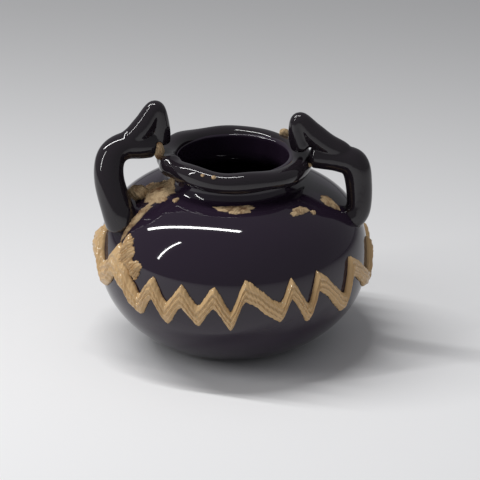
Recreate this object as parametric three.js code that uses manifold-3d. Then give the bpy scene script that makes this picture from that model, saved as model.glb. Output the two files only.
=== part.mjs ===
// A small two-handled glass jar, late Roman in form: a squat blown body with a short neck,
// a thick coil laid round the mouth, two drawn handles folded up into thumb-rests,
// and an opaque thread combed into a zigzag round the belly.
// Millimetres, +Z up, origin at the centre of the ring that the jar stands on.
// The photographed front faces -Y, with +X to the right.
import * as THREE from 'three';
import * as BufferGeometryUtils from 'three/addons/utils/BufferGeometryUtils.js';
import Module from 'manifold-3d';

// Body, as an oval below the belly and a fuller one above it
const BELLY_RADIUS = 32.2;
const BELLY_HEIGHT = 20.5;
const LOWER_OVAL = 23.4;
const UPPER_OVAL = 21.4;
const UPPER_FULLNESS = 2.6;
const WALL = 2.0;
const BASE_RING_OUTER = 15.5;
const BASE_RING_INNER = 12.5;
const BASE_PUSH_UP = 1.6;

// Neck and mouth
const NECK_RADIUS = 15.2;
const NECK_FILLET = 2.4;
const NECK_HEIGHT = 6.9;
const LIP_CROWN = 0.6;
const COIL_HALF_WIDTH = 1.35;
const COIL_HALF_HEIGHT = 1.9;
const COIL_BELOW_LIP = 1.0;
const COIL_OVAL = 0.3;
const COIL_TILT = 0.6;
const COIL_RIPPLE = 0.22;
const CLEARANCE = 0.3;

// Handles, as places along the glass rod. The first number is the share of the way
// from the neck's wall out to the belly, then y, the height above the lip and the rod's radius.
const LEFT_ROD = [
  [0.55, -9.5, -16.5, 4.5],
  [0.71, -10.4, -10.5, 3.9],
  [0.83, -8.5, -3.5, 3.6],
  [0.81, -6.0, 1.2, 3.5],
  [0.64, -4.0, 3.3, 3.3],
  [0.37, -2.6, 3.2, 3.3],
  [0.16, -1.6, 2.8, 2.9],
];
const LEFT_FOLD = [
  [0.13, -1.4, 2.5, 2.5],
  [0.12, -1.6, 7.0, 2.3],
  [0.18, -1.9, 11.9, 2.1],
  [0.34, -2.6, 8.3, 2.6],
  [0.48, -3.2, 5.6, 2.7],
  [0.65, -3.8, 3.8, 2.4],
];
const RIGHT_ROD = [
  [0.64, -4.4, -16.5, 3.8],
  [0.85, -4.4, -12.5, 3.0],
  [0.86, -3.4, -6.5, 3.2],
  [0.79, -2.8, -1.6, 3.5],
  [0.59, -2.4, -0.4, 3.2],
  [0.37, -2.2, 0.0, 3.0],
  [0.14, -2.0, 0.2, 2.8],
];
const RIGHT_FOLD = [
  [0.08, -2.0, 1.0, 2.6],
  [0.01, -2.0, 5.5, 2.4],
  [0.03, -2.0, 9.1, 2.1],
  [0.21, -2.1, 5.9, 2.6],
  [0.41, -2.3, 3.2, 2.7],
  [0.61, -2.5, 1.6, 2.4],
  [0.72, -2.6, 0.6, 1.8],
];
const ROD_SIDES = 12;
const ROD_STEP = 2.2;

// Zigzag thread: turning points as degrees round from the front, towards +X,
// the height of the thread's middle there and half the thread's upright thickness
const THREAD_TURNS = [
  [-95, 20.0, 2.4], [-88, 25.0, 3.8], [-79, 26.0, 3.9], [-71, 19.5, 2.6], [-66, 21.0, 2.6],
  [-60, 26.6, 3.8], [-52, 24.0, 3.4], [-47, 19.5, 2.6], [-43, 17.6, 2.1], [-36, 24.0, 2.1],
  [-29, 17.0, 2.1], [-22, 23.5, 2.1], [-15, 17.8, 2.1], [-8, 23.9, 2.1], [-1, 16.8, 2.1],
  [5, 25.4, 2.2], [20, 18.6, 2.1], [25, 24.8, 2.1], [33, 17.1, 2.1], [38, 25.1, 2.1],
  [54, 16.3, 2.1], [59, 25.1, 2.2], [80, 17.0, 2.1], [86, 24.6, 2.1],
];
const BACK_PEAKS = 11;
const BACK_HIGH = 24.5;
const BACK_LOW = 17.0;
const BACK_HALF_HEIGHT = 2.1;
const THREAD_PROUD = 1.3;
const THREAD_STEP = 2.0;
const THREAD_SPREAD = 0.25;

const BODY_SEGMENTS = 56;
const COIL_SEGMENTS = 56;
const COIL_SIDES = 10;
const FLOOR_RISE = 0.4;

// The lip stands one neck above the shoulder
const LIP_HEIGHT = shoulderHeight(NECK_RADIUS + NECK_FILLET) + NECK_HEIGHT;

const wasm = await Module();
wasm.setup();

const DEG = Math.PI / 180;

// Radius of the outside of the body at a height: an oval below the belly, a fuller one above
function bodyRadius(z) {
  if (z < BELLY_HEIGHT) {
    return BELLY_RADIUS * Math.sqrt(1 - ((BELLY_HEIGHT - z) / LOWER_OVAL) ** 2);
  }
  const rise = (z - BELLY_HEIGHT) / UPPER_OVAL;
  return BELLY_RADIUS * (1 - rise ** UPPER_FULLNESS) ** (1 / UPPER_FULLNESS);
}

// Height on the upper body where its outside has the given radius
function shoulderHeight(radius) {
  const share = 1 - (radius / BELLY_RADIUS) ** UPPER_FULLNESS;
  return BELLY_HEIGHT + UPPER_OVAL * share ** (1 / UPPER_FULLNESS);
}

// The outside of the body and neck from the standing ring to the lip, as radius and height
function outerProfile() {
  const points = [];
  const ringTurn = BELLY_HEIGHT - LOWER_OVAL * Math.sqrt(1 - (BASE_RING_OUTER / BELLY_RADIUS) ** 2);
  const lowest = Math.max(ringTurn, 0);
  for (let i = 1; i <= 9; i += 1) {
    const turn = (i / 9) * 90 * DEG;
    const z = lowest + (BELLY_HEIGHT - lowest) * (1 - Math.cos(turn));
    points.push(new THREE.Vector2(bodyRadius(z), z));
  }
  const filletFoot = NECK_RADIUS + NECK_FILLET;
  const top = shoulderHeight(filletFoot);
  for (let i = 1; i <= 9; i += 1) {
    const z = BELLY_HEIGHT + (top - BELLY_HEIGHT) * Math.sin((i / 9) * 90 * DEG);
    points.push(new THREE.Vector2(bodyRadius(z), z));
  }
  for (let i = 1; i <= 4; i += 1) {
    const turn = (i / 4) * 90 * DEG;
    const r = filletFoot - NECK_FILLET * Math.sin(turn);
    points.push(new THREE.Vector2(r, top + NECK_FILLET * (1 - Math.cos(turn))));
  }
  points.push(new THREE.Vector2(NECK_RADIUS, LIP_HEIGHT));
  return points;
}

// A profile moved sideways by a distance: outwards where the distance is positive
function offsetProfile(points, distance) {
  return points.map((point, i) => {
    const before = points[Math.max(i - 1, 0)];
    const after = points[Math.min(i + 1, points.length - 1)];
    const along = after.clone().sub(before).normalize();
    return new THREE.Vector2(point.x + along.y * distance, point.y - along.x * distance);
  });
}

// The blown vessel: outside, rounded lip and inside in one turned profile
function vesselGeometry() {
  const outside = outerProfile();
  const inside = offsetProfile(outside, -WALL).reverse();
  const lipMiddle = NECK_RADIUS - WALL / 2;
  const profile = [
    new THREE.Vector2(0, BASE_PUSH_UP),
    new THREE.Vector2(BASE_RING_INNER * 0.62, BASE_PUSH_UP * 0.7),
    new THREE.Vector2(BASE_RING_INNER, 0),
    new THREE.Vector2(BASE_RING_OUTER, 0),
    ...outside,
    new THREE.Vector2(lipMiddle, LIP_HEIGHT + LIP_CROWN),
    ...inside,
    new THREE.Vector2(BASE_RING_OUTER, WALL + FLOOR_RISE),
    new THREE.Vector2(BASE_RING_INNER * 0.62, BASE_PUSH_UP * 0.7 + WALL),
    new THREE.Vector2(0, BASE_PUSH_UP + WALL),
  ];
  return new THREE.LatheGeometry(profile, BODY_SEGMENTS).rotateX(Math.PI / 2);
}

// The vessel's outside as a closed cutter, larger by the clearance
function vesselCutter() {
  const grown = offsetProfile(outerProfile(), CLEARANCE);
  const last = grown[grown.length - 1];
  const profile = [
    new THREE.Vector2(0, -1),
    new THREE.Vector2(grown[0].x, -1),
    ...grown,
    new THREE.Vector2(last.x, LIP_HEIGHT + LIP_CROWN + CLEARANCE),
    new THREE.Vector2(0, LIP_HEIGHT + LIP_CROWN + CLEARANCE),
  ];
  return new THREE.LatheGeometry(profile, BODY_SEGMENTS).rotateX(Math.PI / 2);
}

// Joins equal rings of points into one closed skin, with a cap at each end unless it is a loop
function skin(rings, loop) {
  const sides = rings[0].length;
  const position = [];
  const index = [];
  rings.forEach((ring) => ring.forEach((p) => position.push(p.x, p.y, p.z)));
  const bands = loop ? rings.length : rings.length - 1;
  for (let i = 0; i < bands; i += 1) {
    const next = (i + 1) % rings.length;
    for (let k = 0; k < sides; k += 1) {
      const a = i * sides + k;
      const b = i * sides + ((k + 1) % sides);
      const c = next * sides + ((k + 1) % sides);
      const d = next * sides + k;
      index.push(a, b, c, a, c, d);
    }
  }
  if (!loop) {
    const last = (rings.length - 1) * sides;
    for (let k = 1; k < sides - 1; k += 1) {
      index.push(0, k + 1, k);
      index.push(last, last + k, last + k + 1);
    }
  }
  const geometry = new THREE.BufferGeometry();
  geometry.setAttribute('position', new THREE.Float32BufferAttribute(position, 3));
  geometry.setIndex(index);
  return geometry;
}

// Where a handle's rod passes: side is -1 for the left handle and 1 for the right one
function handlePoint([share, y, rise], side) {
  const reach = THREE.MathUtils.lerp(NECK_RADIUS, BELLY_RADIUS, share);
  return new THREE.Vector3(side * reach, y, LIP_HEIGHT + rise);
}

// A drawn rod of changing thickness along a smooth path, with blunt rounded ends
function rodGeometry(places, side, grow) {
  const path = new THREE.CatmullRomCurve3(
    places.map((place) => handlePoint(place, side)), false, 'centripetal');
  const steps = Math.ceil(path.getLength() / ROD_STEP);
  const frames = path.computeFrenetFrames(steps, false);
  const rings = [];
  const addRing = (centre, normal, binormal, radius) => {
    const ring = [];
    for (let k = 0; k < ROD_SIDES; k += 1) {
      const turn = (k / ROD_SIDES) * 2 * Math.PI;
      ring.push(centre.clone()
        .addScaledVector(normal, Math.cos(turn) * radius)
        .addScaledVector(binormal, Math.sin(turn) * radius));
    }
    rings.push(ring);
  };
  const radiusAt = (share) => {
    const place = share * (places.length - 1);
    const i = Math.min(Math.floor(place), places.length - 2);
    return THREE.MathUtils.lerp(places[i][3], places[i + 1][3], place - i) + grow;
  };
  for (let i = 0; i <= steps; i += 1) {
    const centre = path.getPointAt(i / steps);
    const radius = radiusAt(path.getUtoTmapping(i / steps));
    const { normals, binormals, tangents } = frames;
    if (i === 0) {
      addRing(centre.clone().addScaledVector(tangents[i], -radius * 0.7), normals[i], binormals[i], radius * 0.5);
    }
    addRing(centre, normals[i], binormals[i], radius);
    if (i === steps) {
      addRing(centre.clone().addScaledVector(tangents[i], radius * 0.7), normals[i], binormals[i], radius * 0.5);
    }
  }
  return skin(rings, false);
}

// The coil round the mouth: an upright oval section on a line that is a little oval, tilted and rippled
function coilGeometry(grow) {
  const rings = [];
  const seat = NECK_RADIUS + CLEARANCE + COIL_HALF_WIDTH + COIL_OVAL;
  for (let i = 0; i < COIL_SEGMENTS; i += 1) {
    const turn = (i / COIL_SEGMENTS) * 2 * Math.PI;
    const ripple = COIL_RIPPLE * Math.sin(5 * turn + 0.8);
    const reach = seat + COIL_OVAL * Math.cos(2 * turn);
    const height = LIP_HEIGHT - COIL_BELOW_LIP - COIL_TILT * Math.cos(turn) + ripple;
    const ring = [];
    for (let k = 0; k < COIL_SIDES; k += 1) {
      const around = (k / COIL_SIDES) * 2 * Math.PI;
      const out = reach + (COIL_HALF_WIDTH + grow) * Math.cos(around);
      const up = (COIL_HALF_HEIGHT + grow) * Math.sin(around);
      ring.push(new THREE.Vector3(out * Math.cos(turn), out * Math.sin(turn), height + up));
    }
    rings.push(ring.reverse());
  }
  return skin(rings, true);
}

// Every turning point of the thread, the combed front ones and the even ones at the back
function threadTurns() {
  const turns = [...THREAD_TURNS];
  const from = turns[turns.length - 1][0];
  const span = turns[0][0] + 360 - from;
  const strokes = BACK_PEAKS * 2;
  for (let i = 1; i < strokes; i += 1) {
    turns.push([from + (span * i) / strokes, i % 2 ? BACK_LOW : BACK_HIGH, BACK_HALF_HEIGHT]);
  }
  const [angle, z, half] = turns[0];
  turns.push([angle + 360, z, half]);
  return turns;
}

// The thread as a band round the body: its middle runs straight from turn to turn,
// with the same thickness above and below, domed, and one clearance away from the wall
function threadGeometry() {
  const turns = threadTurns();
  const rings = [];
  for (let i = 0; i < turns.length - 1; i += 1) {
    const [fromAngle, fromZ, fromHalf] = turns[i];
    const [toAngle, toZ, toHalf] = turns[i + 1];
    const run = (toAngle - fromAngle) * DEG * BELLY_RADIUS;
    const pieces = Math.max(2, Math.round(Math.hypot(run, toZ - fromZ) / (2 * THREAD_STEP)));
    for (let k = 0; k < pieces; k += 1) {
      const share = k / pieces;
      const angle = THREE.MathUtils.lerp(fromAngle, toAngle, share) * DEG;
      const middle = THREE.MathUtils.lerp(fromZ, toZ, share);
      rings.push(threadSection(angle, middle, THREE.MathUtils.lerp(fromHalf, toHalf, share)));
    }
  }
  return skin(rings, true);
}

// One upright section of the thread: a low dome that follows the body's outside
function threadSection(angle, middle, half) {
  const dome = [[0, 0], [1, 0], [0.6, 0.8], [0, 1], [-0.6, 0.8], [-1, 0]];
  return dome.map(([up, out]) => {
    const z = middle + up * half;
    const reach = bodyRadius(z) + CLEARANCE + THREAD_SPREAD + out * THREAD_PROUD;
    return new THREE.Vector3(reach * Math.sin(angle), -reach * Math.cos(angle), z);
  });
}

// A closed geometry as a solid for joining and cutting
function solid(geometry) {
  const bare = geometry.clone();
  bare.deleteAttribute('normal');
  bare.deleteAttribute('uv');
  const merged = BufferGeometryUtils.mergeVertices(bare, 1e-4);
  return new wasm.Manifold(new wasm.Mesh({
    numProp: 3,
    vertProperties: new Float32Array(merged.attributes.position.array),
    triVerts: new Uint32Array(merged.index.array),
  }));
}

// A solid back as a geometry
function geometryOf(body) {
  const mesh = body.getMesh();
  const geometry = new THREE.BufferGeometry();
  geometry.setAttribute('position', new THREE.Float32BufferAttribute(mesh.vertProperties, 3));
  geometry.setIndex(new THREE.Uint32BufferAttribute(mesh.triVerts, 1));
  geometry.computeVertexNormals();
  return geometry;
}

// A handle: the rod from shoulder to mouth joined with its fold, cut clear of vessel and coil
function handleGeometry(rod, fold, side) {
  const whole = solid(rodGeometry(rod, side, 0)).add(solid(rodGeometry(fold, side, 0)));
  const cut = whole.subtract(solid(vesselCutter())).subtract(solid(coilGeometry(CLEARANCE)));
  const pieces = cut.decompose().sort((a, b) => b.volume() - a.volume());
  return geometryOf(pieces[0]);
}

// The thread, cut clear of the foot of the left handle
function cutThread() {
  return geometryOf(solid(threadGeometry()).subtract(solid(rodGeometry(LEFT_ROD, -1, CLEARANCE))));
}

function glass(color) {
  return new THREE.MeshStandardMaterial({ color, roughness: 0.12, metalness: 0 });
}

const group = new THREE.Group();

function place(name, geometry, material) {
  const mesh = new THREE.Mesh(geometry, material);
  mesh.name = name;
  group.add(mesh);
}

place('vessel', vesselGeometry(), glass(0x1c1220));
place('rim_coil', coilGeometry(0), glass(0x181018));
place('handle_left', handleGeometry(LEFT_ROD, LEFT_FOLD, -1), glass(0x140d14));
place('handle_right', handleGeometry(RIGHT_ROD, RIGHT_FOLD, 1), glass(0x140d14));
place('zigzag_thread', cutThread(),
  new THREE.MeshStandardMaterial({ color: 0xc8a578, roughness: 0.8, metalness: 0 }));

export default group;
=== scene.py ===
"""The looks of a small two-handled glass jar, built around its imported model.

The body, the coil round the mouth, the handles, the combed thread and the pale crust are surfaces worked out
with numpy in metres, in the model's own frame: +Z up, with the photographed front facing -Y.
"""

import bmesh
import bpy
import numpy as np
from bpy.props import FloatProperty, FloatVectorProperty, PointerProperty
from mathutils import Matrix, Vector


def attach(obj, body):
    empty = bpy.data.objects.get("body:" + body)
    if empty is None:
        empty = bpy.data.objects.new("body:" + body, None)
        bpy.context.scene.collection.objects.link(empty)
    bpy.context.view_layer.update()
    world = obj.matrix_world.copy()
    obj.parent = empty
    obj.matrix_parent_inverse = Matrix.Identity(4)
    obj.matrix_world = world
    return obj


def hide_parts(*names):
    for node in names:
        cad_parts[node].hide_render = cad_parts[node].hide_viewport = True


bl_info = {
    "name": "Two-handled glass jar",
    "version": (1, 0, 0),
    "blender": (4, 5, 0),
    "location": "3D View > Sidebar > Glass Jar",
    "description": "Builds a blown glass jar with folded handles and a combed zigzag thread",
    "category": "Object",
}

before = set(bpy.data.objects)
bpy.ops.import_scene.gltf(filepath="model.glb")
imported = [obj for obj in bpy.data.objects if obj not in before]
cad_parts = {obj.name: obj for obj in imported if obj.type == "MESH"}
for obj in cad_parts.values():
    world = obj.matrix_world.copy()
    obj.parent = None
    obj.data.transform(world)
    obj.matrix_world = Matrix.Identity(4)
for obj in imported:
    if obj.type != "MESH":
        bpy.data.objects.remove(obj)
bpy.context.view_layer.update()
MM = 0.001

# Body, as an oval below the belly and a fuller one above it, in millimetres
BELLY_HEIGHT = 20.5
LOWER_OVAL = 23.4
UPPER_OVAL = 21.4
UPPER_FULLNESS = 2.6
BASE_RING_OUTER = 15.5
BASE_RING_INNER = 12.5
NECK_FILLET = 2.4
WALL_TOP = 46.4
LIP_HEIGHT = 46.965
LIP_ROUND = 0.5
BASE_PUSH_UP = 1.6
FLOOR_RISE = 0.4

# Coil, in millimetres: outer reach, middle height, half height and how far inside the neck's wall it wraps
COIL_REACH = 18.25
COIL_MIDDLE = 45.5
COIL_HALF_HEIGHT = 2.4
COIL_INSET = 0.1

# Degrees round the mouth of the coil's swollen end and of the dip beside it
COIL_END = 203
COIL_DIP = 190

# The thread's turning points: degrees round from the front, height and half thickness in millimetres
THREAD_TURNS = [
    (-95, 20.0, 2.4), (-88, 25.0, 3.8), (-79, 26.0, 3.9), (-71, 20.5, 3.2), (-66, 22.0, 3.2),
    (-60, 26.4, 4.0), (-52, 23.4, 3.8), (-47, 20.0, 3.3), (-43, 18.2, 2.8), (-36, 23.4, 2.8),
    (-29, 17.8, 2.9), (-22, 22.8, 2.8), (-15, 18.3, 2.7), (-8, 23.3, 2.7), (-1, 17.4, 2.6),
    (5, 25.0, 2.6), (20, 18.9, 2.5), (25, 24.4, 2.5), (33, 17.4, 2.4), (38, 24.8, 2.4),
    (54, 16.6, 2.4), (59, 24.8, 2.4), (80, 17.2, 2.3), (86, 24.4, 2.3),
]
BACK_PEAKS = 11
BACK_HIGH = 24.5
BACK_LOW = 17.0
BACK_HALF_HEIGHT = 2.1
THREAD_STEPS = 1300
GROOVES = 11.0

# Handles: side, then a rod and a fold, each as the share of the way from neck to belly, y, height above
# the lip and radius
HANDLES = {
    "handle_left": (-1, (
        ((0.62, -9.9, -15.0, 4.3), (0.71, -10.4, -10.5, 3.9), (0.83, -8.5, -3.5, 3.6), (0.81, -6.0, 1.2, 3.5),
         (0.64, -4.0, 3.3, 3.3), (0.37, -2.6, 3.2, 3.3), (0.16, -1.6, 2.8, 2.9)),
        ((0.13, -1.4, 2.5, 2.5), (0.12, -1.6, 7.0, 2.3), (0.19, -1.9, 11.9, 2.2), (0.34, -2.6, 8.3, 2.7),
         (0.48, -3.2, 5.6, 2.7), (0.65, -3.8, 3.8, 2.4)),
    )),
    "handle_right": (1, (
        ((0.70, -4.4, -15.5, 3.4), (0.85, -4.4, -12.5, 3.0), (0.86, -3.4, -6.5, 3.2), (0.79, -2.8, -1.6, 3.5),
         (0.59, -2.4, -0.4, 3.2), (0.37, -2.2, 0.0, 3.0), (0.14, -2.0, 0.2, 2.8)),
        ((0.08, -2.0, 1.0, 2.6), (0.01, -2.0, 5.5, 2.4), (0.03, -2.0, 9.1, 2.1), (0.21, -2.1, 5.9, 2.7),
         (0.41, -2.3, 3.2, 2.7), (0.61, -2.5, 1.6, 2.4), (0.72, -2.6, 0.6, 1.8)),
    )),
}

# Patches: degrees round from the front, way down the surface from the lip, half width, half length, thickness
CRUST_PATCHES = {
    "shoulder_left": (-72, 9.0, 5.4, 4.6, 1.0),
    "shoulder_left_tail": (-60, 17.6, 1.1, 6.2, 0.7),
    "neck_front": (2, 8.3, 4.8, 1.6, 0.5),
    "shoulder_right": (45, 12.4, 2.9, 1.3, 0.5),
    "shoulder_right_knob": (53, 14.2, 0.8, 0.7, 0.5),
    "shoulder_right_corner": (72, 14.6, 1.8, 2.7, 0.8),
    "neck_left": (-48, 8.4, 0.8, 1.0, 0.4),
}

# Tongues of the thread's heavy start, placed as the patches are
TONGUES = {
    "tongue_first": (-81, 29.0, 2.7, 4.8, 1.5),
    "tongue_second": (-54, 26.5, 2.4, 4.8, 1.5),
    "tongue_bend": (-47, 28.6, 2.2, 2.2, 1.3),
}

# Loose lumps of crust: centre and half sizes in millimetres
CRUST_LUMPS = {
    "left_seam": ((-17.6, -4.1, 49.2), (1.2, 0.6, 2.2)),
    "left_corner": ((-22.6, -5.6, 39.2), (2.4, 2.0, 1.8)),
    "rim_bead": ((-7.1, -15.7, 47.5), (0.55, 0.5, 0.4)),
    "rim_bead_second": ((-4.6, -16.5, 47.3), (0.6, 0.55, 0.45)),
    "right_join": ((17.2, -4.3, 45.6), (1.4, 0.5, 0.6)),
    "back_rim": ((12.2, 12.6, 47.2), (1.2, 0.8, 1.3)),
}
PATCH_DEPTH = 0.4
SPOKES = 150

# Melting of the handles: size of the even mesh in millimetres, rounds of smoothing and depth in the body
EVEN_MESH = 0.25
SOFT_ROUNDS = 14
SEAT_DEPTH = 0.7

# Lamps: place, the two sides in metres, and watts
LAMPS = {
    "overhead_strip": ((-0.24, 0.08, 0.60), 0.028, 0.66, 3.0),
    "left_strip": ((-0.52, -0.20, 0.42), 0.016, 0.42, 1.0),
}
WORLD_COLOUR = (0.95, 0.96, 1.0, 1)
WORLD_STRENGTH = 0.24
FLOOR_REACH = 3.0

# Camera: the point it looks at in millimetres, distance in metres, tilt in degrees and lens in millimetres
CAMERA_AIM = (1.56, 0.0, 24.66)
CAMERA_DISTANCE = 0.9
CAMERA_TILT = 22.5
CAMERA_LENS = 281.0


class JarSizes(bpy.types.PropertyGroup):
    """Sizes of the jar's surfaces."""

    belly_radius: FloatProperty(name="Belly radius", description="Widest radius of the body",
                                default=32.2 * MM, unit="LENGTH")
    wall: FloatProperty(name="Wall", description="Thickness of the blown wall",
                        default=2.0 * MM, unit="LENGTH")
    neck_radius: FloatProperty(name="Neck radius", description="Outside radius of the neck",
                               default=15.2 * MM, unit="LENGTH")
    thread_proud: FloatProperty(name="Thread relief", description="How far the thread stands out",
                                default=1.3 * MM, unit="LENGTH")


class JarColours(bpy.types.PropertyGroup):
    """Colours of the jar's glass and crust, as linear values."""

    glass: FloatVectorProperty(name="Glass", description="Near-black upper glass", subtype="COLOR",
                               size=3, default=(0.0025, 0.0010, 0.0022), min=0, max=1)
    # The glass's own purple-brown, painted lighter as a painted glow of light shining through the thin lower
    # wall
    glass_low_painted_glow: FloatVectorProperty(name="Lower glass", description="Purple-brown of the lower body",
                                   subtype="COLOR", size=3, default=(0.024, 0.012, 0.016), min=0, max=1)
    thread: FloatVectorProperty(name="Thread", description="Cream of the opaque thread", subtype="COLOR",
                                size=3, default=(0.72, 0.52, 0.31), min=0, max=1)
    thread_dark: FloatVectorProperty(name="Thread streaks", description="Brown streaks in the thread",
                                     subtype="COLOR", size=3, default=(0.20, 0.095, 0.04), min=0, max=1)
    crust: FloatVectorProperty(name="Crust", description="Tan burial crust", subtype="COLOR",
                               size=3, default=(0.58, 0.42, 0.24), min=0, max=1)
    floor_near: FloatVectorProperty(name="Near floor", description="Pale floor in front", subtype="COLOR",
                                    size=3, default=(0.90, 0.90, 0.905), min=0, max=1)
    # Painted shade: the floor's grey behind the jar stands for light falling off towards the back
    floor_far_painted_shade: FloatVectorProperty(name="Far floor", description="Greyer floor behind", subtype="COLOR",
                                   size=3, default=(0.42, 0.42, 0.425), min=0, max=1)


class Sum:
    """A shader socket that can be used in sums."""

    def __init__(self, nodes, socket):
        self.nodes, self.socket = nodes, socket

    def made(self, operation, first, second):
        return self.nodes.add("ShaderNodeMath", {"operation": operation}, {0: first, 1: second})

    def __add__(self, other):
        return self.made("ADD", self, other)

    def __sub__(self, other):
        return self.made("SUBTRACT", self, other)

    def __rsub__(self, other):
        return self.made("SUBTRACT", other, self)

    def __mul__(self, other):
        return self.made("MULTIPLY", self, other)

    __radd__ = __add__
    __rmul__ = __mul__


class Nodes:
    """One material's nodes, with a single way to add any of them."""

    def __init__(self, name):
        self.material = bpy.data.materials.new(name)
        self.material.use_nodes = True
        self.tree = self.material.node_tree
        self.tree.nodes.clear()
        self.output = self.tree.nodes.new("ShaderNodeOutputMaterial")

    def add(self, kind, settings=None, sockets=None, out=0):
        node = self.tree.nodes.new(kind)
        for key, value in (settings or {}).items():
            setattr(node, key, value)
        for key, value in (sockets or {}).items():
            if isinstance(value, Sum):
                self.tree.links.new(value.socket, node.inputs[key])
            else:
                node.inputs[key].default_value = value
        return Sum(self, node.outputs[out])

    def place(self, output="Object"):
        return self.add("ShaderNodeTexCoord", out=output)

    def noise(self, scale, detail=4.0, rough=0.55, vector=None):
        return self.add("ShaderNodeTexNoise", None, {
            "Vector": vector or self.place(), "Scale": scale, "Detail": detail, "Roughness": rough})

    def mask(self, value, low, high):
        """0 below low, 1 above high, smooth between."""
        return self.add("ShaderNodeMapRange", {"interpolation_type": "SMOOTHSTEP"}, {
            "Value": value, "From Min": low, "From Max": high})

    def blend(self, share, first, second):
        return self.add("ShaderNodeMix", {"data_type": "RGBA"}, {0: share, 6: first, 7: second}, out=2)

    def bump(self, height, strength, distance):
        return self.add("ShaderNodeBump", None, {
            "Height": height, "Strength": strength, "Distance": distance})

    def finish(self, **sockets):
        named = {key.replace("_", " "): value for key, value in sockets.items()}
        shader = self.add("ShaderNodeBsdfPrincipled", None, named)
        self.tree.links.new(shader.socket, self.output.inputs["Surface"])
        return self.material


def rgba(colour):
    return (*colour, 1.0)


def dark_glass(name, colours):
    """Near-black glass with tiny pits, faint bloom and dirt on the shoulder; low down the glass's own
    purple-brown is painted lighter, as painted light shining through the thin lower wall.
    """
    nodes = Nodes(name)
    height = nodes.add("ShaderNodeSeparateXYZ", None, {0: nodes.place()}, out=2)
    # Painted glow: the body takes the lighter purple-brown low down, for light shining through the thinner
    # lower glass, and the near-black higher up
    upper = nodes.mask(height, 0.008, 0.028)
    tone_with_painted_glow = nodes.blend(upper, rgba(colours.glass_low_painted_glow), rgba(colours.glass))
    pits = nodes.mask(nodes.noise(900.0, 2.0), 0.64, 0.72)
    shoulder = nodes.mask(height, 0.034, 0.040) * (1 - nodes.mask(height, 0.043, 0.046))
    dirt = nodes.mask(nodes.noise(520.0, 6.0, 0.7) + nodes.noise(140.0, 3.0) * 0.5, 0.86, 0.93) * shoulder
    colour = nodes.blend(dirt, tone_with_painted_glow, rgba(colours.crust))
    worn = nodes.mask(height, 0.031, 0.036) * (1 - nodes.mask(height, 0.0425, 0.045))
    rough = nodes.noise(160.0) * 0.12 + worn * 0.17 + dirt * 0.5 + pits * 0.25 + 0.03
    ripples = nodes.noise(60.0, 2.0) * 0.6 - pits * 0.5 + dirt * 0.4
    normal = nodes.bump(ripples, 0.22, 0.0012)
    return nodes.finish(Base_Color=colour, Roughness=rough, Normal=normal, Specular_IOR_Level=0.32)


def thread_glass(colours):
    """Cream opaque glass with brown streaks that run along the thread, worn and a little pitted."""
    nodes = Nodes("thread_glass")
    across = nodes.add("ShaderNodeSeparateXYZ", None, {0: nodes.place("UV")}, out=1)
    wander = nodes.noise(330.0, 3.0)
    phase = (across * 4.0 - 1.0) * GROOVES + (wander - 0.5) * 5.0
    streaks = nodes.add("ShaderNodeMath", {"operation": "COSINE"}, {0: phase})
    dark = (1 - nodes.mask(streaks, -0.9, 0.1)) * nodes.mask(nodes.noise(260.0, 4.0, 0.65), 0.40, 0.58)
    colour = nodes.blend(dark * 0.75, rgba(colours.thread), rgba(colours.thread_dark))
    grain = nodes.noise(1500.0, 6.0, 0.7)
    normal = nodes.bump(grain + streaks * 0.5, 0.5, 0.0005)
    return nodes.finish(Base_Color=colour, Roughness=0.72, Normal=normal)


def crust(colours):
    """Dry tan crust, mottled with brown and rough to the touch."""
    nodes = Nodes("crust")
    mottle = nodes.mask(nodes.noise(420.0, 6.0, 0.65), 0.45, 0.68)
    colour = nodes.blend(mottle, rgba(colours.crust), rgba(colours.thread_dark))
    normal = nodes.bump(nodes.noise(1300.0, 8.0, 0.75), 0.8, 0.0006)
    return nodes.finish(Base_Color=colour, Roughness=0.9, Normal=normal)


def pale_floor(colours):
    """A matt floor, near white in front of the jar and greyer behind it, where the grey is painted shade for
    the light falling off towards the back.
    """
    nodes = Nodes("pale_floor")
    depth = nodes.add("ShaderNodeSeparateXYZ", None, {0: nodes.place()}, out=1)
    # Painted shade: the floor darkens with depth, for light falling off towards the back
    far_painted_shade = nodes.mask(depth, -0.06, 0.30)
    return nodes.finish(Base_Color=nodes.blend(far_painted_shade, rgba(colours.floor_near), rgba(colours.floor_far_painted_shade)),
                        Roughness=0.95)


def material(name):
    """The named material, made once."""
    found = bpy.data.materials.get(name)
    colours = bpy.context.scene.jar_colours
    makers = {
        "body_glass": lambda: dark_glass("body_glass", colours),
        "applied_glass": lambda: dark_glass("applied_glass", colours),
        "thread_glass": lambda: thread_glass(colours),
        "crust": lambda: crust(colours),
        "pale_floor": lambda: pale_floor(colours),
    }
    return found or makers[name]()


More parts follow.
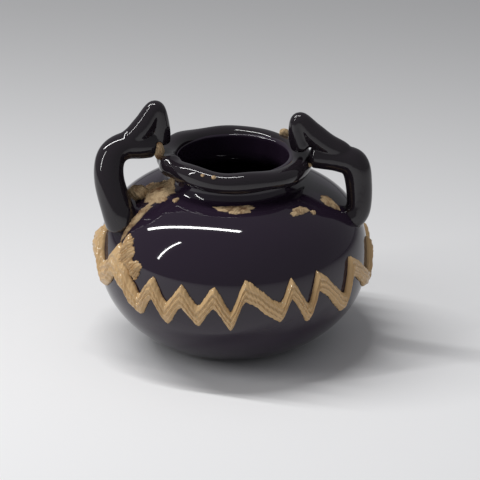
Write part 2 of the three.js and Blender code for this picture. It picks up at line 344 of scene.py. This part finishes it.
def grid_piece(name, points, finish, close_u=True, close_v=False):
    """A mesh from a grid of points, u along the first axis and v along the second, joined where it closes."""
    rows, cols = points.shape[:2]
    rows_used = rows if close_u else rows - 1
    cols_used = cols if close_v else cols - 1
    u, v = np.meshgrid(np.arange(rows_used), np.arange(cols_used), indexing="ij")
    un, vn = (u + 1) % rows, (v + 1) % cols
    faces = np.stack([u * cols + v, un * cols + v, un * cols + vn, u * cols + vn], axis=-1).reshape(-1, 4)
    mesh = bpy.data.meshes.new(name)
    mesh.from_pydata(points.reshape(-1, 3) * MM, [], faces.tolist())
    layer = mesh.uv_layers.new(name="along")
    shares = np.stack([u / rows_used, v / cols_used], axis=-1).reshape(-1, 2)
    steps = np.array([[0, 0], [1 / rows_used, 0], [1 / rows_used, 1 / cols_used], [0, 1 / cols_used]])
    layer.data.foreach_set("uv", (shares[:, None, :] + steps[None]).astype(np.float32).ravel())
    build = bmesh.new()
    build.from_mesh(mesh)
    bmesh.ops.remove_doubles(build, verts=build.verts, dist=1e-7)
    bmesh.ops.dissolve_degenerate(build, edges=build.edges, dist=1e-8)
    bmesh.ops.recalc_face_normals(build, faces=build.faces)
    build.to_mesh(mesh)
    build.free()
    mesh.shade_smooth()
    piece = bpy.data.objects.new(name, mesh)
    bpy.context.collection.objects.link(piece)
    piece.data.materials.append(material(finish))
    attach(piece, "root")
    return piece


def body_radius(z):
    """Outside radius at a height: an oval below the belly and a fuller one above it."""
    belly = bpy.context.scene.jar_sizes.belly_radius / MM
    low = np.clip((BELLY_HEIGHT - z) / LOWER_OVAL, 0, 1)
    high = np.clip((z - BELLY_HEIGHT) / UPPER_OVAL, 0, 1)
    return belly * np.where(z < BELLY_HEIGHT, np.sqrt(1 - low**2),
                            (1 - high**UPPER_FULLNESS) ** (1 / UPPER_FULLNESS))


def outer_profile():
    """Radius and height up the outside, from the standing ring to the lip."""
    sizes = bpy.context.scene.jar_sizes
    belly, neck = sizes.belly_radius / MM, sizes.neck_radius / MM
    turn = np.linspace(0, np.pi / 2, 33)[1:]
    lowest = max(BELLY_HEIGHT - LOWER_OVAL * np.sqrt(1 - (BASE_RING_OUTER / belly) ** 2), 0)
    low = lowest + (BELLY_HEIGHT - lowest) * (1 - np.cos(turn))
    foot = neck + NECK_FILLET
    top = BELLY_HEIGHT + UPPER_OVAL * (1 - (foot / belly) ** UPPER_FULLNESS) ** (1 / UPPER_FULLNESS)
    high = BELLY_HEIGHT + (top - BELLY_HEIGHT) * np.sin(turn)
    heights = np.concatenate([low, high])
    bend = np.linspace(0, np.pi / 2, 11)[1:]
    fillet = np.stack([foot - NECK_FILLET * np.sin(bend), top + NECK_FILLET * (1 - np.cos(bend))], axis=1)
    body = np.stack([body_radius(heights), heights], axis=1)
    straight = np.linspace(fillet[-1, 1], WALL_TOP, 8)[1:]
    neck_part = np.stack([np.full_like(straight, neck), straight], axis=1)
    return np.concatenate([body, fillet, neck_part])


def turned(profile, segments=160):
    """The profile turned round the axis: (r cos a, r sin a, z) for each angle a."""
    angle = np.linspace(0, 2 * np.pi, segments, endpoint=False)[:, None]
    r, z = profile[None, :, 0], profile[None, :, 1]
    return np.stack([r * np.cos(angle), r * np.sin(angle), z + 0 * angle], axis=-1)


class JAR_OT_vessel(bpy.types.Operator):
    """Makes the blown body: the outside profile, a half round lip, the same profile a wall's thickness
    inwards and a pushed-in base, turned round the axis."""

    bl_idname = "jar.vessel"
    bl_label = "Vessel"

    def execute(self, context):
        wall = context.scene.jar_sizes.wall / MM
        outside = outer_profile()
        along = np.gradient(outside, axis=0)
        along /= np.linalg.norm(along, axis=1)[:, None]
        inside = (outside - wall * np.stack([along[:, 1], -along[:, 0]], axis=1))[::-1]
        lip_turn = np.linspace(0, np.pi, 9)[1:-1]
        middle = (outside[-1] + inside[0]) / 2
        lip = np.stack([middle[0] + wall / 2 * np.cos(lip_turn),
                        middle[1] + LIP_ROUND * np.sin(lip_turn)], axis=1)
        half_way = BASE_RING_OUTER / 2
        ring = np.array([[0, BASE_PUSH_UP], [half_way, 0.7 * BASE_PUSH_UP], [11.6, 0.25],
                         [BASE_RING_INNER, 0], [BASE_RING_OUTER, 0]])
        floor = np.array([[BASE_RING_OUTER, wall + FLOOR_RISE], [half_way, wall + 0.7 * BASE_PUSH_UP],
                          [0, wall + BASE_PUSH_UP]])
        profile = np.concatenate([ring, outside, lip, inside, floor])
        piece = grid_piece("blown_vessel", turned(profile), "body_glass")
        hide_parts("vessel")
        return {"FINISHED"}


class JAR_OT_coil(bpy.types.Operator):
    """Makes the thick coil, wrapped over the lip: an upright rounded section carried round the mouth, whose
    reach, height and thickness ripple as sines of the angle and swell in a bell at the rounded end."""

    bl_idname = "jar.coil"
    bl_label = "Mouth coil"

    def execute(self, context):
        sizes = context.scene.jar_sizes
        inner = (sizes.neck_radius - sizes.wall) / MM + COIL_INSET
        turn = np.linspace(0, 2 * np.pi, 240, endpoint=False)[:, None]
        around = np.linspace(0, 2 * np.pi, 32, endpoint=False)[None]
        outer = COIL_REACH + 0.3 * np.cos(2 * turn) + 0.25 * np.cos(turn) + 0.12 * np.sin(6 * turn + 0.5)
        end = np.exp(-((turn - np.radians(COIL_END)) / 0.10) ** 2)
        dip = np.exp(-((turn - np.radians(COIL_DIP)) / 0.09) ** 2)
        outer = outer + 0.5 * end - 0.5 * dip
        half = (outer - inner) / 2
        height = COIL_MIDDLE - 0.6 * np.cos(turn) + 0.25 * np.sin(5 * turn + 0.8) + 0.3 * end
        ripple = 0.12 * np.sin(3 * turn + 1.0) + 0.12 * np.sin(8 * turn)
        tall = COIL_HALF_HEIGHT + ripple + 0.3 * end
        bulge = np.sign(np.cos(around)) * np.abs(np.cos(around)) ** 0.8
        out = inner + half + half * bulge
        points = np.stack([out * np.cos(turn), out * np.sin(turn), height + tall * np.sin(around)], axis=-1)
        piece = grid_piece("mouth_coil", points, "applied_glass", True, True)
        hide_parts("rim_coil")
        return {"FINISHED"}


def rod_rings(places, side, steps=90, sides=28):
    """Rings round a smooth path: each stretch is the cubic that passes its end places with the slope between
    their neighbours, and the radius changes the same way. Both ends close in a half round."""
    sizes = bpy.context.scene.jar_sizes
    neck, belly = sizes.neck_radius / MM, sizes.belly_radius / MM
    table = np.array([(side * (neck + share * (belly - neck)), y, LIP_HEIGHT + rise, r)
                      for share, y, rise, r in places])
    ends = np.concatenate([2 * table[:1] - table[1:2], table, 2 * table[-1:] - table[-2:-1]])
    place = np.linspace(0, len(table) - 1, steps)
    i = np.minimum(place.astype(int), len(table) - 2)
    t = (place - i)[:, None]
    a, b, c, d = ends[i], ends[i + 1], ends[i + 2], ends[i + 3]
    path = b + 0.5 * t * (c - a + t * (2 * a - 5 * b + 4 * c - d + t * (3 * (b - c) + d - a)))
    centre, radius = path[:, :3], path[:, 3].copy()
    round_off = np.maximum(np.sin(np.linspace(0, np.pi / 2, 7))[:-1], 0.02)
    radius[:6] *= round_off
    radius[-6:] *= round_off[::-1]
    along = np.gradient(centre, axis=0)
    along /= np.linalg.norm(along, axis=1)[:, None]
    across = np.cross(along, [0.0, 1.0, 0.0])
    across /= np.linalg.norm(across, axis=1)[:, None]
    third = np.cross(across, along)
    turn = np.linspace(0, 2 * np.pi, sides, endpoint=False)
    return (centre[:, None] + radius[:, None, None] *
            (np.cos(turn)[None, :, None] * across[:, None] + np.sin(turn)[None, :, None] * third[:, None]))


def handle_mesh(name, side, rods):
    """Two closed rods in one mesh: four-sided faces from ring to ring, and one face over each end."""
    points, faces, first = [], [], 0
    for places in rods:
        rings = rod_rings(places, side)
        steps, sides = rings.shape[:2]
        i, k = np.meshgrid(np.arange(steps - 1), np.arange(sides), indexing="ij")
        n = (k + 1) % sides
        corners = (i * sides + k, i * sides + n, (i + 1) * sides + n, (i + 1) * sides + k)
        faces += (np.stack(corners, axis=-1).reshape(-1, 4) + first).tolist()
        end = np.arange(sides) + first
        faces += [end[::-1].tolist(), (end + (steps - 1) * sides).tolist()]
        points.append(rings.reshape(-1, 3))
        first += steps * sides
    mesh = bpy.data.meshes.new(name)
    mesh.from_pydata(np.concatenate(points) * MM, [], faces)
    build = bmesh.new()
    build.from_mesh(mesh)
    bmesh.ops.recalc_face_normals(build, faces=build.faces)
    build.to_mesh(mesh)
    build.free()
    return mesh


class JAR_OT_handles(bpy.types.Operator):
    """Makes each handle from its rod and its fold, melted into one soft glass form."""

    bl_idname = "jar.handles"
    bl_label = "Handles"

    def execute(self, context):
        for node, (side, rods) in HANDLES.items():
            mesh = handle_mesh(f"drawn_{node}", side, rods)
            piece = bpy.data.objects.new(f"drawn_{node}", mesh)
            context.collection.objects.link(piece)
            remesh = piece.modifiers.new("even", "REMESH")
            remesh.mode, remesh.voxel_size = "VOXEL", EVEN_MESH * MM
            smooth = piece.modifiers.new("soft", "SMOOTH")
            smooth.factor, smooth.iterations = 0.5, SOFT_ROUNDS
            done = bpy.data.meshes.new_from_object(piece.evaluated_get(context.evaluated_depsgraph_get()))
            piece.modifiers.clear()
            piece.data = done
            seat_on_body(done)
            done.shade_smooth()
            done.materials.clear()
            done.materials.append(material("applied_glass"))
            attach(piece, "root")
            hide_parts(node)
        return {"FINISHED"}


def seat_on_body(mesh):
    """Moves every point that lies deeper in the body than a handle seats straight out to that depth."""
    dots = np.empty(len(mesh.vertices) * 3, dtype=np.float32)
    mesh.vertices.foreach_get("co", dots)
    dots = dots.reshape(-1, 3).astype(float) / MM
    reach = np.hypot(dots[:, 0], dots[:, 1])
    shoulder = 40
    least = np.where(dots[:, 2] < shoulder, body_radius(dots[:, 2]) - SEAT_DEPTH, 0)
    grow = np.maximum(least / np.maximum(reach, 1e-6), 1)
    dots[:, :2] *= grow[:, None]
    mesh.vertices.foreach_set("co", (dots * MM).astype(np.float32).ravel())
    mesh.update()


def thread_middle():
    """The thread's middle and half thickness, eased from turn to turn all the way round the body."""
    turns = list(THREAD_TURNS)
    start, span = turns[-1][0], turns[0][0] + 360 - turns[-1][0]
    strokes = BACK_PEAKS * 2
    turns += [(start + span * i / strokes, BACK_LOW if i % 2 else BACK_HIGH, BACK_HALF_HEIGHT)
              for i in range(1, strokes)]
    turns.append((turns[0][0] + 360, *turns[0][1:]))
    table = np.array(turns)
    even = np.linspace(table[0, 0], table[-1, 0], THREAD_STEPS, endpoint=False)
    stroke = np.interp(even, table[:, 0], np.arange(len(table)))
    share = stroke % 1
    eased = np.floor(stroke) + 0.5 * share + 0.5 * share**2 * (3 - 2 * share)
    middle, half = (np.interp(eased, np.arange(len(table)), table[:, column]) for column in (1, 2))
    return np.radians(even), middle, half


class JAR_OT_thread(bpy.types.Operator):
    """Makes the opaque thread: an upright section carried round the body, which stands out as a dome, a power
    of 1 - v squared, lowered by cosine grooves along its run and ragged along its edges."""

    bl_idname = "jar.thread"
    bl_label = "Zigzag thread"

    def execute(self, context):
        angle, middle, half = thread_middle()
        proud = context.scene.jar_sizes.thread_proud / MM
        v = np.linspace(-1, 1, 37)[None]
        ragged = 0.10 * np.sin(61 * angle) + 0.08 * np.sin(143 * angle + 1.0) + 0.06 * np.sin(317 * angle)
        upper = (half + ragged)[:, None]
        lower = (half + 0.12 * np.sin(53 * angle + 2) + 0.08 * np.sin(171 * angle))[:, None]
        z = middle[:, None] + np.where(v > 0, upper, lower) * v
        bend = 0.6 * np.sin(23 * angle)[:, None] + 0.5 * np.sin(59 * angle)[:, None]
        grooves = 0.13 * np.cos(v * GROOVES + bend) + 0.05 * np.sin(211 * angle[:, None] + 9 * v)
        thick = proud * (half / BACK_HALF_HEIGHT)[:, None] ** 0.5
        dome = thick * np.clip(1 - v**2, 0, 1) ** 0.4 * (0.88 + grooves)
        outer = body_radius(z) + 0.05 + dome
        inner = body_radius(z[:, ::-1]) - 0.15
        reach = np.concatenate([outer, inner[:, 1:-1]], axis=1)
        height = np.concatenate([z, z[:, ::-1][:, 1:-1]], axis=1)
        turn = angle[:, None]
        points = np.stack([reach * np.sin(turn), -reach * np.cos(turn), height], axis=-1)
        piece = grid_piece("combed_thread", points, "thread_glass", True, True)
        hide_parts("zigzag_thread")
        return {"FINISHED"}


def down_the_body(way):
    """Radius, height and outward normal at a way down the outside from the lip, in millimetres."""
    line = outer_profile()[::-1]
    steps = np.linalg.norm(np.diff(line, axis=0), axis=1)
    length = np.concatenate([[0], np.cumsum(steps)])
    along = np.gradient(line, axis=0)
    along /= np.linalg.norm(along, axis=1)[:, None]
    columns = (line[:, 0], line[:, 1], -along[:, 1], along[:, 0])
    return [np.interp(way, length, column) for column in columns]


def patch_piece(name, place, number, finish):
    """A low mound over the body: rings run out from its middle to a ragged rim, a sum of sines round the
    spokes, and it stands out as the root of 1 - ring squared times its lumps, and sinks in at the rim."""
    degrees, way, half_width, half_length, thick = place
    spoke = np.linspace(0, 2 * np.pi, SPOKES, endpoint=False)[:, None]
    ring = np.linspace(0, 1, 40)[None]
    ragged = 1 + 0.15 * np.sin(3 * spoke + 2 * number) + 0.08 * np.sin(7 * spoke + number)
    ragged = ragged + 0.05 * np.sin(17 * spoke + 3 * number) + 0.03 * np.sin(37 * spoke)
    x = half_width * ring * ragged * np.cos(spoke)
    down = way + half_length * ring * ragged * np.sin(spoke)
    r, z, out, up = down_the_body(down)
    angle = np.radians(degrees) + x / r
    lumps = 0.7 + 0.2 * np.sin(2.9 * x + number) * np.sin(2.3 * down) + 0.12 * np.sin(8 * x + 6 * down)
    lumps = lumps + 0.06 * np.sin(19 * x - 13 * down) + 0.05 * np.sin(31 * down + 11 * x)
    mound = thick * np.sqrt(np.clip(1 - ring**2, 0, 1)) * lumps - 0.2 * ring**8
    layers = []
    for rise in (mound, np.full_like(mound, -PATCH_DEPTH)):
        reach = r + rise * out
        layers.append(np.stack([reach * np.sin(angle), -reach * np.cos(angle), z + rise * up], axis=-1))
    grid_piece(name, np.concatenate([layers[0], layers[1][:, ::-1]], axis=1), finish)


def lump_piece(name, centre, half, number):
    """A lump: an oval ball whose reach ripples with spoke and tilt, less towards its poles."""
    spoke = np.linspace(0, 2 * np.pi, SPOKES, endpoint=False)[:, None]
    tilt = np.linspace(-np.pi / 2, np.pi / 2, 50)[None]
    ripple = 0.12 * np.sin(4 * spoke + number) * np.cos(3 * tilt) + 0.05 * np.sin(11 * spoke + 9 * tilt)
    ball = np.stack([np.cos(tilt) * np.cos(spoke), np.cos(tilt) * np.sin(spoke),
                     np.sin(tilt) + 0 * spoke], axis=-1)
    reach = 1 + ripple * np.cos(tilt)
    grid_piece(name, np.array(centre) + np.array(half) * ball * reach[..., None], "crust")


class JAR_OT_crust(bpy.types.Operator):
    """Makes the crust's patches and lumps, and the tongues of the thread's heavy start."""

    bl_idname = "jar.crust"
    bl_label = "Crust"

    def execute(self, context):
        for number, (name, place) in enumerate(CRUST_PATCHES.items()):
            patch_piece(f"crust_{name}", place, number, "crust")
        for number, (name, place) in enumerate(TONGUES.items()):
            patch_piece(f"combed_{name}", place, number + 3, "thread_glass")
        for number, (name, (centre, half)) in enumerate(CRUST_LUMPS.items()):
            lump_piece(f"crust_{name}", centre, half, number)
        return {"FINISHED"}


class JAR_OT_stage(bpy.types.Operator):
    """Makes the pale floor, the soft lights and the camera at the photographed angle."""

    bl_idname = "jar.stage"
    bl_label = "Stage"

    def execute(self, context):
        scene = context.scene
        mesh = bpy.data.meshes.new("floor")
        corners = [(-1, -1, 0), (1, -1, 0), (1, 1, 0), (-1, 1, 0)]
        mesh.from_pydata(np.array(corners) * FLOOR_REACH, [], [(0, 1, 2, 3)])
        floor = bpy.data.objects.new("floor", mesh)
        floor.data.materials.append(material("pale_floor"))
        context.collection.objects.link(floor)
        world = bpy.data.worlds.new("studio")
        world.use_nodes = True
        world.node_tree.nodes["Background"].inputs["Color"].default_value = WORLD_COLOUR
        world.node_tree.nodes["Background"].inputs["Strength"].default_value = WORLD_STRENGTH
        scene.world = world
        for name, (place, wide, deep, power) in LAMPS.items():
            lamp = bpy.data.lights.new(name, "AREA")
            lamp.shape = "RECTANGLE"
            lamp.size, lamp.size_y, lamp.energy = wide, deep, power
            light = bpy.data.objects.new(name, lamp)
            light.location = place
            facing = Vector((0, 0, 0.025)) - Vector(place)
            light.rotation_euler = facing.to_track_quat("-Z", "Y").to_euler()
            context.collection.objects.link(light)
        camera_data = bpy.data.cameras.new("camera")
        camera_data.lens, camera_data.sensor_width = CAMERA_LENS, 36.0
        camera = bpy.data.objects.new("camera", camera_data)
        aim = Vector(CAMERA_AIM) * MM
        tilt = np.radians(CAMERA_TILT)
        camera.location = aim + CAMERA_DISTANCE * Vector((0, -np.cos(tilt), np.sin(tilt)))
        camera.rotation_euler = (np.pi / 2 - tilt, 0, 0)
        context.collection.objects.link(camera)
        scene.camera = camera
        scene.view_settings.view_transform = "Standard"
        return {"FINISHED"}


STEPS = ("stage", "vessel", "coil", "handles", "thread", "crust")


class JAR_PT_panel(bpy.types.Panel):
    """Lists the jar's sizes, colours and steps."""

    bl_label = "Glass Jar"
    bl_space_type = "VIEW_3D"
    bl_region_type = "UI"
    bl_category = "Glass Jar"

    def draw(self, context):
        for group in (context.scene.jar_sizes, context.scene.jar_colours):
            for name in group.bl_rna.properties.keys():
                if name not in ("rna_type", "name"):
                    self.layout.prop(group, name)
        for step in STEPS:
            self.layout.operator(f"jar.{step}")


CLASSES = (JarSizes, JarColours, JAR_OT_vessel, JAR_OT_coil, JAR_OT_handles, JAR_OT_thread, JAR_OT_crust,
           JAR_OT_stage, JAR_PT_panel)


def register():
    for item in CLASSES:
        bpy.utils.register_class(item)
    bpy.types.Scene.jar_sizes = PointerProperty(type=JarSizes)
    bpy.types.Scene.jar_colours = PointerProperty(type=JarColours)


def unregister():
    del bpy.types.Scene.jar_colours
    del bpy.types.Scene.jar_sizes
    for item in reversed(CLASSES):
        bpy.utils.unregister_class(item)


def main():
    register()
    for step in STEPS:
        getattr(bpy.ops.jar, step)()


if __name__ == "__main__":
    main()
